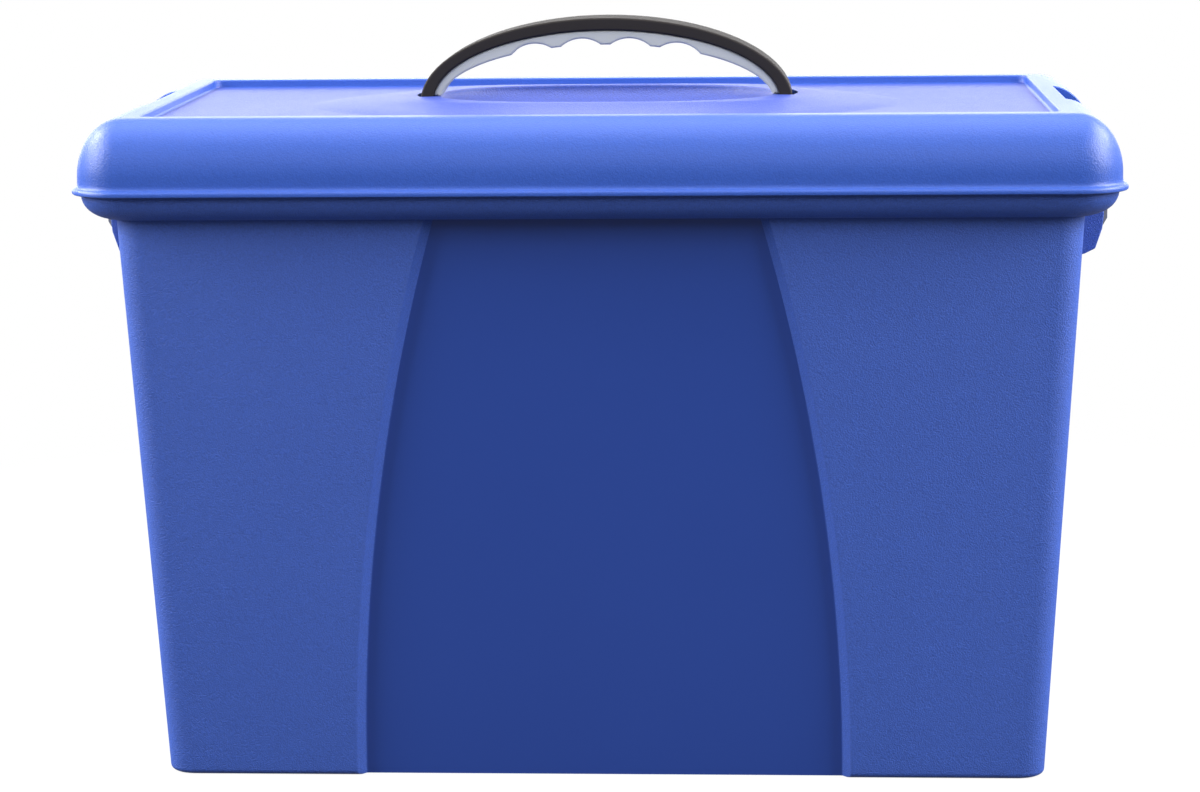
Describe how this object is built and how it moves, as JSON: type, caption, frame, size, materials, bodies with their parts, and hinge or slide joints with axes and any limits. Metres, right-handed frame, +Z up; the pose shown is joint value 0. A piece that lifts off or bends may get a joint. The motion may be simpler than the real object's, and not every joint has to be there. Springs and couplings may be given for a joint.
{
  "type": "portable file box",
  "caption": "Portable file box: drafted tub with a hanging-file ledge, lift-off domed lid with an arched carry handle, and a swing latch at each end.",
  "frame": {"origin": "centre of the underside of the base", "axes": "+Z up, +X along the long side to the right, front panel towards -Y"},
  "size_m": [0.4328, 0.235, 0.3173],
  "materials": {
    "blue_tub": "moulded polypropylene, fine matt spark texture on the wings, smoother sunk panels",
    "blue_lid": "moulded polypropylene, satin skin with a soft sheen",
    "black_strap": "satin black moulded plastic",
    "grey_grip": "matt grey moulded plastic",
    "grey_latch": "matt grey moulded plastic",
    "steel_pin": "drawn steel wire"
  },
  "bodies": {
    "tub_body": {"tub": "blue_tub", "latch_pin_left": "steel_pin", "latch_pin_right": "steel_pin"},
    "lid_body": {"lid": "blue_lid", "handle_strap": "black_strap", "handle_grip": "grey_grip"},
    "latch_left_body": {"latch_left": "grey_latch"},
    "latch_right_body": {"latch_right": "grey_latch"}
  },
  "joints": [
    {"name": "lid_lift", "type": "slide", "parent": "tub_body", "child": "lid_body", "axis": [0, 0, 1], "range_m": [0, 0.05]},
    {"name": "latch_left_swing", "type": "hinge", "parent": "tub_body", "child": "latch_left_body", "pos_m": [-0.2062, 0, 0.227], "axis": [0, -1, 0], "range_deg": [0, 150]},
    {"name": "latch_right_swing", "type": "hinge", "parent": "tub_body", "child": "latch_right_body", "pos_m": [0.2062, 0, 0.227], "axis": [0, 1, 0], "range_deg": [0, 150]}
  ],
  "couplings": [
    {"joint": "latch_left_swing", "follows": "lid_lift", "rad_per_m": 52.35},
    {"joint": "latch_right_swing", "follows": "lid_lift", "rad_per_m": 52.35}
  ]
}
